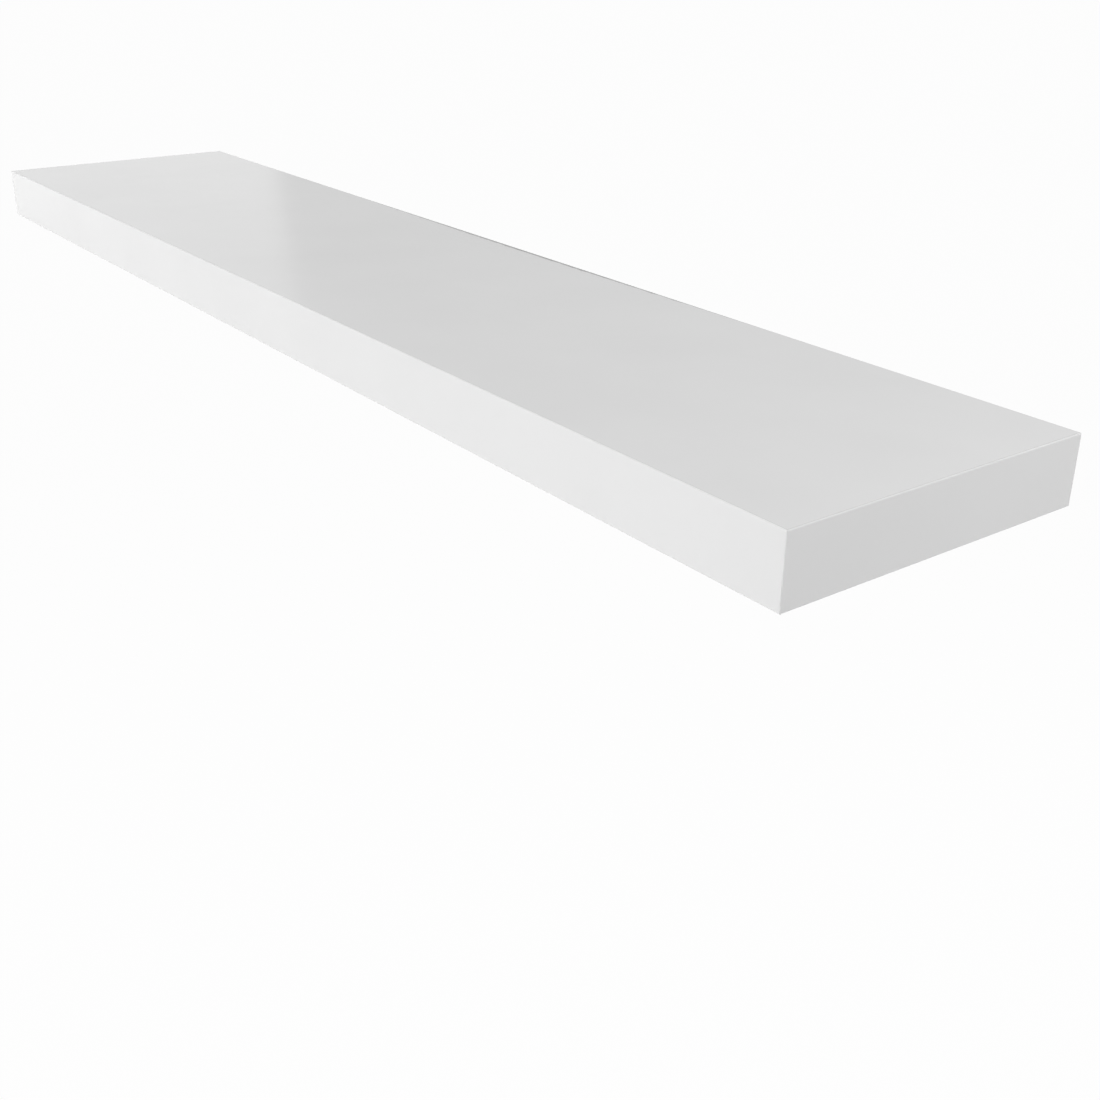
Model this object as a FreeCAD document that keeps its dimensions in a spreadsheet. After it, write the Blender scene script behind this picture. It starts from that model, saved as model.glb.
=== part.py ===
import FreeCAD, Part
import Sketcher
import math
import os

# Floating wall shelf: a hollow-core board that slides onto the rods of a concealed steel bracket.
#
# Row frame, in millimetres: +Z up, +X along the shelf to its right end as seen from the room.
# The wall is the plane y = 0 and the room is at negative y. The origin is on the wall, at the
# middle of the shelf's length and of its thickness, which is also the middle of the wall plate.

doc = FreeCAD.newDocument("floating_wall_shelf")
vector = FreeCAD.Vector

# ---------------------------------------------------------------------------------------------
# Driving dimensions
# ---------------------------------------------------------------------------------------------

SIZES = {
    # the board
    "shelf_length": 1200,
    "shelf_depth": 250,
    "shelf_thickness": 48,
    "skin_thickness": 4,
    "band_thickness": 1,
    "arris_flat": 0.2,
    # the frame between the skins
    "front_rail_depth": 30,
    "end_rail_width": 30,
    "rear_rail_depth": 40,
    "rib_width": 44,
    # the paper core
    "cell_width": 38,
    "paper_thickness": 0.5,
    # the wall plate
    "plate_end_inset": 70,
    "plate_clearance": 3,
    "plate_thickness": 5,
    "plate_corner_radius": 3,
    "seat_clearance": 0.3,
    # its fixing holes
    "screw_hole_diameter": 5.5,
    "screw_head_diameter": 10.5,
    "outer_hole_inset": 20,
    "inner_hole_spacing": 180,
    "slot_length": 24,
    # the support rods
    "rod_count": 4,
    "rod_end_inset": 150,
    "rod_diameter": 12,
    "rod_reach": 160,
    "rod_tip_chamfer": 2,
    "rod_clearance": 0.3,
    "bore_overrun": 5,
    "weld_leg": 3,
    "weld_clearance": 0.6,
    # the locking screws
    "lock_screw_diameter": 6,
    "lock_screw_recess": 1.7,
    "lock_screw_chamfer": 0.8,
    "lock_gap": 0.3,
    "hex_socket_width": 3,
    "hex_socket_depth": 4,
    "insert_diameter": 10,
    "insert_web": 2.7,
    "thread_clearance": 0.05,
    "lock_hole_clearance": 0.4,
}

sheet = doc.addObject("Spreadsheet::Sheet", "Sizes")
for row, (alias, number) in enumerate(SIZES.items(), start=1):
    sheet.set(f"A{row}", alias)
    sheet.set(f"B{row}", str(number))
    sheet.setAlias(f"B{row}", alias)
doc.recompute()


def size(alias):
    """The expression that reads one driving dimension."""
    return f"Sizes.{alias}"


# Lengths that follow from the driving dimensions, as expressions
HALF_LENGTH = f"({size('shelf_length')} / 2)"
HALF_THICKNESS = f"({size('shelf_thickness')} / 2)"
HALF_CORE = f"({HALF_THICKNESS} - {size('skin_thickness')})"
CORE_HEIGHT = f"(2 * {HALF_CORE})"
SKIN_HALF_LENGTH = f"({HALF_LENGTH} - {size('band_thickness')})"
SKIN_DEPTH = f"({size('shelf_depth')} - {size('band_thickness')})"
BAY_HALF_LENGTH = f"({SKIN_HALF_LENGTH} - {size('end_rail_width')})"
RECESS_DEPTH = f"({size('plate_thickness')} + {size('seat_clearance')})"
REAR_RAIL_FRONT = f"({RECESS_DEPTH} + {size('rear_rail_depth')})"
FRONT_RAIL_BACK = f"({SKIN_DEPTH} - {size('front_rail_depth')})"
RIB_LENGTH = f"({FRONT_RAIL_BACK} - {REAR_RAIL_FRONT})"
ROD_OUTER_X = f"({HALF_LENGTH} - {size('rod_end_inset')})"
ROD_PITCH = f"(2 * {ROD_OUTER_X} / ({size('rod_count')} - 1))"
ROD_BORE_DIAMETER = f"({size('rod_diameter')} + 2 * {size('rod_clearance')})"
ROD_TIP = f"({size('plate_thickness')} + {size('rod_reach')})"
PLATE_HALF_LENGTH = f"({HALF_LENGTH} - {size('plate_end_inset')})"
PLATE_HALF_HEIGHT = f"({HALF_CORE} - {size('plate_clearance')})"
LOCK_Y = f"({RECESS_DEPTH} + {size('rear_rail_depth')} / 2)"
LOCK_TIP = f"({size('rod_diameter')} / 2 + {size('lock_gap')})"
LOCK_SCREW_LENGTH = f"({HALF_THICKNESS} - {LOCK_TIP} - {size('lock_screw_recess')})"
LOCK_HOLE_DIAMETER = f"({size('lock_screw_diameter')} + 2 * {size('lock_hole_clearance')})"
INSERT_LENGTH = f"({HALF_THICKNESS} - {ROD_BORE_DIAMETER} / 2 - {size('insert_web')})"
ARRIS_RADIUS = f"({size('band_thickness')} - {size('arris_flat')})"


def value(expression):
    """The number that an expression over the sheet has now."""
    return float(sheet.evalExpression(expression))


ROD_COUNT = int(value(size("rod_count")))


def rod_x(number):
    """Where rod number 1, 2, ... stands along the shelf, from left to right."""
    return f"({number - 1} * {ROD_PITCH} - {ROD_OUTER_X})"


# ---------------------------------------------------------------------------------------------
# Bodies, sketches and features
# ---------------------------------------------------------------------------------------------

nodes = []


def new_body(label, x="0", y="0", z="0"):
    """A body for one sub-part, whose origin is placed in the row frame by three expressions."""
    body = doc.addObject("PartDesign::Body", label)
    body.Label = label
    for axis, expression in zip("xyz", (x, y, z)):
        body.setExpression(f"Placement.Base.{axis}", expression)
    nodes.append(body)
    return body


def new_sketch(body, plane, name, lift="0"):
    """A sketch on one of the body's origin planes, or lifted off it along the plane's normal.

    On XY_Plane the sketch's axes are X and Y and a pad rises along +Z. On XZ_Plane they are X and
    Z and a pad runs along -Y, away from the wall. On YZ_Plane they are Y and Z, and it runs to +X.
    """
    sketch = body.newObject("Sketcher::SketchObject", name)
    support = next(f for f in body.Origin.OriginFeatures if f.Role == plane)
    sketch.AttachmentSupport = [(support, "")]
    sketch.MapMode = "FlatFace"
    sketch.setExpression("AttachmentOffset.Base.z", lift)
    return sketch


def place_point(sketch, geometry, point, across, up):
    """Holds a point of the sketch at two expressions from its origin."""
    for kind, expression in (("DistanceX", across), ("DistanceY", up)):
        constraint = Sketcher.Constraint(kind, -1, 1, geometry, point, value(expression))
        index = sketch.addConstraint(constraint)
        sketch.setExpression(f"Constraints[{index}]", expression)


def polyline(sketch, corners):
    """A closed outline through corners, each a pair of expressions."""
    first = sketch.GeometryCount
    points = [vector(value(across), value(up), 0) for across, up in corners]
    count = len(points)
    for i in range(count):
        sketch.addGeometry(Part.LineSegment(points[i], points[(i + 1) % count]), False)
    for i in range(count):
        following = first + (i + 1) % count
        sketch.addConstraint(Sketcher.Constraint("Coincident", first + i, 2, following, 1))
    for i, (across, up) in enumerate(corners):
        place_point(sketch, first + i, 1, across, up)


def rectangle(sketch, left, right, bottom, top):
    """A rectangle between four expressions."""
    polyline(sketch, [(left, bottom), (right, bottom), (right, top), (left, top)])


def centred_rectangle(sketch, half_length, half_height):
    """A rectangle round the sketch's origin."""
    rectangle(sketch, f"-{half_length}", half_length, f"-{half_height}", half_height)


def circle(sketch, across, up, diameter):
    """A circle whose centre and diameter are expressions."""
    centre = vector(value(across), value(up), 0)
    round_line = Part.Circle(centre, vector(0, 0, 1), value(diameter) / 2)
    index = sketch.addGeometry(round_line, False)
    place_point(sketch, index, 3, across, up)
    constraint = sketch.addConstraint(Sketcher.Constraint("Diameter", index, value(diameter)))
    sketch.setExpression(f"Constraints[{constraint}]", diameter)


def hexagon(sketch, flats):
    """A regular hexagon round the sketch's origin, with flats across its two upright sides."""
    corner_radius = value(flats) / math.sqrt(3)
    angles = [math.radians(30 + 60 * i) for i in range(6)]
    corners = [vector(math.cos(a), math.sin(a), 0) * corner_radius for a in angles]
    for i in range(6):
        sketch.addGeometry(Part.LineSegment(corners[i], corners[(i + 1) % 6]), False)
    guide = sketch.addGeometry(Part.Circle(vector(), vector(0, 0, 1), corner_radius), True)
    for i in range(6):
        sketch.addConstraint(Sketcher.Constraint("Coincident", i, 2, (i + 1) % 6, 1))
        sketch.addConstraint(Sketcher.Constraint("PointOnObject", i, 1, guide))
    for i in range(1, 6):
        sketch.addConstraint(Sketcher.Constraint("Equal", 0, i))
    sketch.addConstraint(Sketcher.Constraint("Vertical", 5))
    place_point(sketch, guide, 3, "0", "0")
    corner_circle = f"(2 * {flats} / sqrt(3))"
    constraint = Sketcher.Constraint("Diameter", guide, value(corner_circle))
    index = sketch.addConstraint(constraint)
    sketch.setExpression(f"Constraints[{index}]", corner_circle)


def pad(body, sketch, length, name):
    """A pad along the sketch's normal."""
    feature = body.newObject("PartDesign::Pad", name)
    feature.Profile = sketch
    feature.setExpression("Length", length)
    doc.recompute()
    return feature


def pocket(body, sketch, depth, name, along_normal=True):
    """A pocket to a depth, along the sketch's normal as a pad runs, or against it."""
    before = body.Shape.Volume
    feature = body.newObject("PartDesign::Pocket", name)
    feature.Profile = sketch
    feature.setExpression("Length", depth)
    feature.Reversed = along_normal
    doc.recompute()
    if body.Shape.Volume >= before:
        raise RuntimeError(f"{body.Label}: {name} cuts nothing")
    return feature


def steps_along(body, sketch, axis, spacing, count, name):
    """A linear pattern along one of a sketch's axes, with nothing to repeat yet."""
    pattern = body.newObject("PartDesign::LinearPattern", name)
    pattern.Direction = (sketch, [axis])
    pattern.Mode = "Spacing"
    pattern.setExpression("Offset", spacing)
    pattern.setExpression("Occurrences", count)
    return pattern


def row_of(body, feature, sketch, spacing, count, name):
    """Repeats a feature along its sketch's horizontal axis."""
    pattern = steps_along(body, sketch, "H_Axis", spacing, count, name)
    pattern.Originals = [feature]
    body.Tip = pattern
    doc.recompute()


TOLERANCE = 1e-6


def near(a, b):
    """Whether two lengths are the same."""
    return abs(a - b) < TOLERANCE


def hole_mouths(shape, y):
    """The names of the edges round the holes in the upright flat face at y."""
    face = next(f for f in shape.Faces if all(near(vertex.Y, y) for vertex in f.Vertexes))
    inner_wires = [wire for wire in face.Wires if not wire.isSame(face.OuterWire)]
    rims = [edge for wire in inner_wires for edge in wire.Edges]
    numbered = enumerate(shape.Edges, start=1)
    return [f"Edge{number}" for number, edge in numbered if any(map(edge.isSame, rims))]


def edges_where(shape, test):
    """The names of the edges that a test picks by their end points."""
    names = []
    for number, edge in enumerate(shape.Edges, start=1):
        if test([vertex.Point for vertex in edge.Vertexes]):
            names.append(f"Edge{number}")
    return names


def round_edges(body, base, names, radius, name):
    """A fillet on named edges of a feature."""
    fillet = body.newObject("PartDesign::Fillet", name)
    fillet.Base = (base, names)
    fillet.setExpression("Radius", radius)
    doc.recompute()


def chamfer_edges(body, base, names, leg, name):
    """A 45-degree chamfer on named edges of a feature."""
    chamfer = body.newObject("PartDesign::Chamfer", name)
    chamfer.Base = (base, names)
    chamfer.setExpression("Size", leg)
    doc.recompute()


def slot(sketch, across, length, width):
    """A round-ended slot along the sketch's horizontal axis, whose middle is at across."""
    first = sketch.GeometryCount
    radius = value(width) / 2
    half_run = f"(({length} - {width}) / 2)"
    left_x = f"({across} - {half_run})"
    right_x = f"({across} + {half_run})"
    left_end = vector(value(left_x), 0, 0)
    right_end = vector(value(right_x), 0, 0)
    up = vector(0, radius, 0)
    quarter = math.pi / 2
    left_circle = Part.Circle(left_end, vector(0, 0, 1), radius)
    right_circle = Part.Circle(right_end, vector(0, 0, 1), radius)
    sketch.addGeometry(Part.ArcOfCircle(left_circle, quarter, 3 * quarter), False)
    sketch.addGeometry(Part.LineSegment(left_end - up, right_end - up), False)
    sketch.addGeometry(Part.ArcOfCircle(right_circle, -quarter, quarter), False)
    sketch.addGeometry(Part.LineSegment(right_end + up, left_end + up), False)
    left, lower, right, upper = range(first, first + 4)
    joints = ((left, 2, lower, 1), (lower, 2, right, 1), (right, 2, upper, 1), (upper, 2, left, 1))
    for joint in joints:
        sketch.addConstraint(Sketcher.Constraint("Tangent", *joint))
    place_point(sketch, left, 3, left_x, "0")
    place_point(sketch, right, 3, right_x, "0")
    index = sketch.addConstraint(Sketcher.Constraint("Radius", left, radius))
    sketch.setExpression(f"Constraints[{index}]", f"({width} / 2)")


# ---------------------------------------------------------------------------------------------
# Wall bracket
# ---------------------------------------------------------------------------------------------


def wall_plate():
    """The steel strip on the wall: rounded corners, screw holes and slots, all countersunk."""
    body = new_body("wall_plate")
    outline = new_sketch(body, "XZ_Plane", "Outline")
    centred_rectangle(outline, PLATE_HALF_LENGTH, PLATE_HALF_HEIGHT)
    strip = pad(body, outline, size("plate_thickness"), "Strip")
    corners = edges_where(strip.Shape, lambda ends: not near(ends[0].y, ends[-1].y))
    round_edges(body, strip, corners, size("plate_corner_radius"), "Corners")

    holes = new_sketch(body, "XZ_Plane", "ScrewHoles")
    outer_x = f"({PLATE_HALF_LENGTH} - {size('outer_hole_inset')})"
    inner_x = f"({size('inner_hole_spacing')} / 2)"
    for x in (f"-{outer_x}", f"-{inner_x}", inner_x, outer_x):
        circle(holes, x, "0", size("screw_hole_diameter"))
    pocket(body, holes, size("plate_thickness"), "Drilled")

    slots = new_sketch(body, "XZ_Plane", "Slots")
    slot_x = f"({ROD_OUTER_X} - {ROD_PITCH} / 2)"
    for x in (f"-{slot_x}", slot_x):
        slot(slots, x, size("slot_length"), size("screw_hole_diameter"))
    slotted = pocket(body, slots, size("plate_thickness"), "Slotted")

    sink = f"(({size('screw_head_diameter')} - {size('screw_hole_diameter')}) / 2)"
    front_mouths = hole_mouths(slotted.Shape, -value(size("plate_thickness")))
    chamfer_edges(body, slotted, front_mouths, sink, "Countersinks")


def support_rod(number):
    """One steel rod, square at its weld and chamfered at its tip."""
    body = new_body(f"support_rod_{number}", x=rod_x(number), y=f"-{size('plate_thickness')}")
    section = new_sketch(body, "XZ_Plane", "Section")
    circle(section, "0", "0", size("rod_diameter"))
    bar = pad(body, section, size("rod_reach"), "Bar")
    tip = -value(size("rod_reach"))
    rim = edges_where(bar.Shape, lambda ends: all(near(end.y, tip) for end in ends))
    chamfer_edges(body, bar, rim, size("rod_tip_chamfer"), "Tip")


def rod_welds():
    """The fillet weld round the root of each rod."""
    body = new_body("rod_welds", x=rod_x(1), y=f"-{size('plate_thickness')}")
    bead = new_sketch(body, "XY_Plane", "Bead")
    root = f"({size('rod_diameter')} / 2)"
    toe = f"({root} + {size('weld_leg')})"
    polyline(bead, [(root, "0"), (root, f"-{size('weld_leg')}"), (toe, "0")])
    ring = body.newObject("PartDesign::Revolution", "Ring")
    ring.Profile = bead
    ring.ReferenceAxis = (bead, ["V_Axis"])
    ring.Angle = 360
    doc.recompute()
    row_of(body, ring, bead, ROD_PITCH, size("rod_count"), "Welds")


# ---------------------------------------------------------------------------------------------
# Frame of the board
# ---------------------------------------------------------------------------------------------


def flat_board(label, left, right, back, front, bottom, thickness):
    """A flat rectangular piece between depths back and front from the wall."""
    body = new_body(label, z=bottom)
    outline = new_sketch(body, "XY_Plane", "Outline")
    rectangle(outline, left, right, f"-{front}", f"-{back}")
    pad(body, outline, thickness, "Board")
    return body


def outer_rails():
    """The frame's front rail, and the end rails that run from it back to the wall."""
    for label, left, right, back, front in (
        ("front_rail", f"-{SKIN_HALF_LENGTH}", SKIN_HALF_LENGTH, FRONT_RAIL_BACK, SKIN_DEPTH),
        ("left_end_rail", f"-{SKIN_HALF_LENGTH}", f"-{BAY_HALF_LENGTH}", "0", FRONT_RAIL_BACK),
        ("right_end_rail", BAY_HALF_LENGTH, SKIN_HALF_LENGTH, "0", FRONT_RAIL_BACK),
    ):
        flat_board(label, left, right, back, front, f"-{HALF_CORE}", CORE_HEIGHT)


def rear_rail():
    """The rail behind the wall plate's recess, bored for the rods and for the locking screws."""
    body = new_body("rear_rail", y=f"-{RECESS_DEPTH}")
    outline = new_sketch(body, "XZ_Plane", "Outline")
    centred_rectangle(outline, BAY_HALF_LENGTH, HALF_CORE)
    pad(body, outline, size("rear_rail_depth"), "Rail")

    bores = new_sketch(body, "XZ_Plane", "RodBores")
    for number in range(1, ROD_COUNT + 1):
        circle(bores, rod_x(number), "0", ROD_BORE_DIAMETER)
    bored = pocket(body, bores, size("rear_rail_depth"), "Bored")
    relief = f"({size('weld_leg')} + {size('weld_clearance')} - {size('rod_clearance')})"
    chamfer_edges(body, bored, hole_mouths(bored.Shape, 0), relief, "WeldRelief")

    screw_holes = new_sketch(body, "XY_Plane", "ScrewHoles")
    insert_holes = new_sketch(body, "XY_Plane", "InsertHoles", lift=f"-{HALF_THICKNESS}")
    for side in ("-", ""):
        x = f"{side}{ROD_OUTER_X}"
        y = f"-({size('rear_rail_depth')} / 2)"
        circle(screw_holes, x, y, LOCK_HOLE_DIAMETER)
        circle(insert_holes, x, y, size("insert_diameter"))
    pocket(body, screw_holes, HALF_CORE, "ScrewHolesCut", along_normal=False)
    pocket(body, insert_holes, INSERT_LENGTH, "InsertHolesCut")


def rib(number):
    """A block from the rear rail to the front rail, drilled blind for one rod."""
    body = new_body(f"rib_{number}", x=rod_x(number), y=f"-{REAR_RAIL_FRONT}")
    outline = new_sketch(body, "XZ_Plane", "Outline")
    centred_rectangle(outline, f"({size('rib_width')} / 2)", HALF_CORE)
    block = pad(body, outline, RIB_LENGTH, "Block")

    mouth = new_sketch(body, "XZ_Plane", "BoreMouth")
    circle(mouth, "0", "0", ROD_BORE_DIAMETER)
    bore = body.newObject("PartDesign::Hole", "RodBore")
    bore.Profile = mouth
    doc.recompute()
    bore.ThreadType = "None"
    bore.setExpression("Diameter", ROD_BORE_DIAMETER)
    bore.DepthType = "Dimension"
    bore.setExpression("Depth", f"({ROD_TIP} + {size('bore_overrun')} - {REAR_RAIL_FRONT})")
    bore.DrillPoint = "Angled"
    bore.Reversed = True
    doc.recompute()
    if body.Shape.Volume >= block.Shape.Volume:
        raise RuntimeError(f"{body.Label}: the bore cuts nothing")


def honeycomb(number):
    """The expanded paper core of one bay: upright six-sided cells, as many as come nearest to
    cell_width, stretched so that whole and half cells fill the bay from wood to wood."""
    half_rib = f"({size('rib_width')} / 2)"
    left = f"-{BAY_HALF_LENGTH}" if number == 1 else f"({rod_x(number - 1)} + {half_rib})"
    right = BAY_HALF_LENGTH if number > ROD_COUNT else f"({rod_x(number)} - {half_rib})"
    width = f"({right} - {left})"
    body = new_body(f"honeycomb_{number}", x=left, y=f"-{FRONT_RAIL_BACK}", z=f"-{HALF_CORE}")
    outline = new_sketch(body, "XY_Plane", "Bay")
    rectangle(outline, "0", width, "0", RIB_LENGTH)
    pad(body, outline, CORE_HEIGHT, "Block")

    wall = size("paper_thickness")
    nominal = f"({size('cell_width')} + {wall})"
    columns = f"max(1; round({width} / {nominal}))"
    rows = f"max(1; round({RIB_LENGTH} / ({nominal} * sqrt(3) / 2)))"
    across = f"({width} / {columns})"
    rise = f"({RIB_LENGTH} / {rows})"
    cells = new_sketch(body, "XY_Plane", "Cells")
    paper_cell(cells, "0", "0", across, rise, wall)
    paper_cell(cells, f"({across} / 2)", rise, across, rise, wall)
    cut = pocket(body, cells, CORE_HEIGHT, "CutCells")
    grid = body.newObject("PartDesign::MultiTransform", "CellGrid")
    along = steps_along(body, cells, "H_Axis", across, f"{columns} + 1", "Columns")
    forward = steps_along(body, cells, "V_Axis", f"(2 * {rise})", f"floor({rows} / 2) + 1", "Rows")
    grid.Originals = [cut]
    grid.Transformations = [along, forward]
    body.Tip = grid
    doc.recompute()


def paper_cell(sketch, x, y, across, rise, wall):
    """One cell of a lattice with its middles across apart in a row and its rows rise apart.
    Its two long sides are upright in the sketch, and its corners are half a wall inside them."""
    slope = f"(2 * {rise} / (3 * {across}))"
    side = f"(({across} - {wall}) / 2)"
    tip = f"(2 * {rise} / 3 - {wall} / 2 * sqrt(1 + {slope} ^ 2))"
    shoulder = f"({tip} - {slope} * {side})"
    corners = [("0", f"-{tip}"), (side, f"-{shoulder}"), (side, shoulder),
               ("0", tip), (f"-{side}", shoulder), (f"-{side}", f"-{shoulder}")]
    polyline(sketch, [(f"({x} + {dx})", f"({y} + {dy})") for dx, dy in corners])


# ---------------------------------------------------------------------------------------------
# Skins and edge bands
# ---------------------------------------------------------------------------------------------


def skins():
    """The faced sheets above and below the frame. The lower one is drilled for the inserts."""
    sheet_place = (f"-{SKIN_HALF_LENGTH}", SKIN_HALF_LENGTH, "0", SKIN_DEPTH)
    flat_board("top_skin", *sheet_place, HALF_CORE, size("skin_thickness"))
    body = flat_board("bottom_skin", *sheet_place, f"-{HALF_THICKNESS}", size("skin_thickness"))
    holes = new_sketch(body, "XY_Plane", "InsertHoles")
    for side in ("-", ""):
        circle(holes, f"{side}{ROD_OUTER_X}", f"-{LOCK_Y}", size("insert_diameter"))
    pocket(body, holes, size("skin_thickness"), "InsertHolesCut")


def front_edge_band():
    """The front edging, over the full length, rounded round its outer face."""
    body = new_body("front_edge_band", y=f"-{SKIN_DEPTH}")
    outline = new_sketch(body, "XZ_Plane", "Outline")
    centred_rectangle(outline, HALF_LENGTH, HALF_THICKNESS)
    strip = pad(body, outline, size("band_thickness"), "Strip")
    outer = edges_where(strip.Shape, lambda ends: all(not near(end.y, 0) for end in ends))
    round_edges(body, strip, outer, ARRIS_RADIUS, "Arris")


def end_edge_band(label, left, outer_x):
    """The edging of one end, behind the front band, rounded along its top and bottom."""
    body = new_body(label, x=left)
    outline = new_sketch(body, "YZ_Plane", "Outline")
    rectangle(outline, f"-{SKIN_DEPTH}", "0", f"-{HALF_THICKNESS}", HALF_THICKNESS)
    strip = pad(body, outline, size("band_thickness"), "Strip")
    outer = edges_where(strip.Shape, lambda ends: near(ends[0].z, ends[-1].z)
                        and all(near(end.x, value(outer_x)) for end in ends))
    round_edges(body, strip, outer, ARRIS_RADIUS, "Arris")


# ---------------------------------------------------------------------------------------------
# Locking screws
# ---------------------------------------------------------------------------------------------


def lock_inserts():
    """The two brass bushes, flush with the underside, that the locking screws wind through."""
    body = new_body("lock_inserts", x=f"-{ROD_OUTER_X}", y=f"-{LOCK_Y}", z=f"-{HALF_THICKNESS}")
    section = new_sketch(body, "XY_Plane", "Section")
    circle(section, "0", "0", size("insert_diameter"))
    circle(section, "0", "0", f"({size('lock_screw_diameter')} + 2 * {size('thread_clearance')})")
    bush = pad(body, section, INSERT_LENGTH, "Bush")
    row_of(body, bush, section, f"(2 * {ROD_OUTER_X})", "2", "Bushes")


def lock_screw(label, x):
    """A headless screw with a hexagon socket below, whose tip stops just short of the rod."""
    body = new_body(label, x=x, y=f"-{LOCK_Y}", z=f"-({LOCK_TIP} + {LOCK_SCREW_LENGTH})")
    section = new_sketch(body, "XY_Plane", "Section")
    circle(section, "0", "0", size("lock_screw_diameter"))
    shank = pad(body, section, LOCK_SCREW_LENGTH, "Shank")
    rim = edges_where(shank.Shape, lambda ends: all(end.z > 0 for end in ends))
    chamfer_edges(body, shank, rim, size("lock_screw_chamfer"), "Tip")
    socket = new_sketch(body, "XY_Plane", "Socket")
    hexagon(socket, size("hex_socket_width"))
    pocket(body, socket, size("hex_socket_depth"), "SocketCut")


# ---------------------------------------------------------------------------------------------
# The whole shelf
# ---------------------------------------------------------------------------------------------

wall_plate()
rod_welds()
outer_rails()
rear_rail()
for rod_number in range(1, ROD_COUNT + 1):
    support_rod(rod_number)
    rib(rod_number)
for bay_number in range(1, ROD_COUNT + 2):
    honeycomb(bay_number)
skins()
front_edge_band()
end_edge_band("left_edge_band", f"-{HALF_LENGTH}", "0")
end_edge_band("right_edge_band", SKIN_HALF_LENGTH, size("band_thickness"))
lock_inserts()
lock_screw("lock_screw_left", f"-{ROD_OUTER_X}")
lock_screw("lock_screw_right", ROD_OUTER_X)

doc.recompute()
failed = [item.Name for item in doc.Objects if {"Invalid", "Error"} & set(item.State)]
if failed:
    raise RuntimeError(f"features that failed: {failed}")
for body in nodes:
    if body.Shape.isNull() or not body.Shape.isValid():
        raise RuntimeError(f"{body.Label} has no valid shape")

os.makedirs("parts", exist_ok=True)
for body in nodes:
    body.Shape.exportStep(f"parts/{body.Label}.step")
    print(f"{body.Label}: {len(body.Shape.Solids)} solid(s), {body.Shape.Volume / 1000:.2f} cm3")
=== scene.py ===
# %% [markdown]
# # A white floating wall shelf
#
# The shelf is a hollow board, 1200 mm long, that hides its own bracket: a steel plate is screwed
# to the wall, four rods stand out of it, and the board slides over them until it covers the plate.
# The imported model already holds every piece at its real size, so this lesson gives each piece its
# finish and models the few small parts whose real form is finer: weld beads, threads and inserts.
#
# The first cell loads that model. Its objects are never moved, so a new piece goes straight to the
# place that the model gives, in metres. The box around the whole model is kept, and the foil takes the
# board's half thickness from it.

# %% Load the imported model
import math

import bpy
from mathutils import Matrix, Vector


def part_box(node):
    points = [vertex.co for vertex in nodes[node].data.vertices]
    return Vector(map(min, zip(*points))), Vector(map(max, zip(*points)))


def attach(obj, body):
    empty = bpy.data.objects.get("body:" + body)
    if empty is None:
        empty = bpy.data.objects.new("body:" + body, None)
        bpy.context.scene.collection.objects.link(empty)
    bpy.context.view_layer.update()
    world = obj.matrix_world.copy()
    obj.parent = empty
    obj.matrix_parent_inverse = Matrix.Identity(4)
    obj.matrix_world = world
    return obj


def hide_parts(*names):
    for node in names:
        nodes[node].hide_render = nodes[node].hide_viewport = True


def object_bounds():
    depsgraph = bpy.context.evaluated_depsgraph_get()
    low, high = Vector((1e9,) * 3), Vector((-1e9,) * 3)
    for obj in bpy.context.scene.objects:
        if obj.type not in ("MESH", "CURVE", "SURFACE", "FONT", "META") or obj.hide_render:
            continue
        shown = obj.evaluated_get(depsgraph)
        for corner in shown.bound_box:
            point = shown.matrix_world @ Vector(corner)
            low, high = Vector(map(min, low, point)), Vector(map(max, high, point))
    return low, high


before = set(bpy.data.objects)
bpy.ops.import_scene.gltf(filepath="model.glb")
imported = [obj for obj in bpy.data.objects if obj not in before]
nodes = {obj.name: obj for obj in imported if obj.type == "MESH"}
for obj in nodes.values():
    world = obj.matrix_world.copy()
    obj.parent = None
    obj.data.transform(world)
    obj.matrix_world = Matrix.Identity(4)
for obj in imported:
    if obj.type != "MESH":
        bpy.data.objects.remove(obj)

cad_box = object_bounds()

# %% [markdown]
# ## Units, colours and nodes
#
# Blender's unit here is the metre, but a maker thinks in millimetres, so sizes are written in
# millimetres and multiplied by MM. Colours are written as hex values, as a paint card gives them.
# A shader wants linear light instead, so one function converts them.
#
# A procedural material is a tree of nodes. One helper adds a node, sets it and links it, and gives
# back its outputs, so that a material reads from top to bottom like a recipe. A socket goes by its
# name, or by its number where a node has several of one name, as Math has. The settings come first,
# because they decide which sockets a node shows: Mix has other ones for colours than for numbers.

# %% Units, colours and nodes
MM = 0.001


def linear(hex_colour):
    """The linear colour that a shader needs for a hex colour in sRGB."""
    channels = [int(hex_colour[start:start + 2], 16) / 255 for start in (1, 3, 5)]
    lit = [c / 12.92 if c <= 0.04045 else ((c + 0.055) / 1.055) ** 2.4 for c in channels]
    return (*lit, 1.0)


def add_node(tree, kind, inputs=None, stops=None, **settings):
    """Adds a node and gives back its outputs.

    Each input is a value or another node's output, and stops are a colour ramp's, from low to high.
    """
    made = tree.nodes.new(f"ShaderNode{kind}")
    for name, setting in settings.items():
        setattr(made, name, setting)
    for socket, source in (inputs or {}).items():
        if isinstance(source, bpy.types.NodeSocket):
            tree.links.new(source, made.inputs[socket])
        else:
            made.inputs[socket].default_value = source
    if stops:
        elements = made.color_ramp.elements
        elements.remove(elements[1])
        elements[0].position = stops[0][0]
        elements[0].color = linear(stops[0][1])
        for position, colour in stops[1:]:
            elements.new(position).color = linear(colour)
    return made.outputs


def per_metre(feature):
    """The texture scale at which one feature of the pattern is this many millimetres."""
    return 1 / (feature * MM)


def per_metre_xyz(x, y, z):
    """The same along each axis, for a pattern that is longer one way than another."""
    return per_metre(x), per_metre(y), per_metre(z)


print(f"A 0.5 mm grain needs a texture scale of {per_metre(0.5):.0f}")

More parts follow.
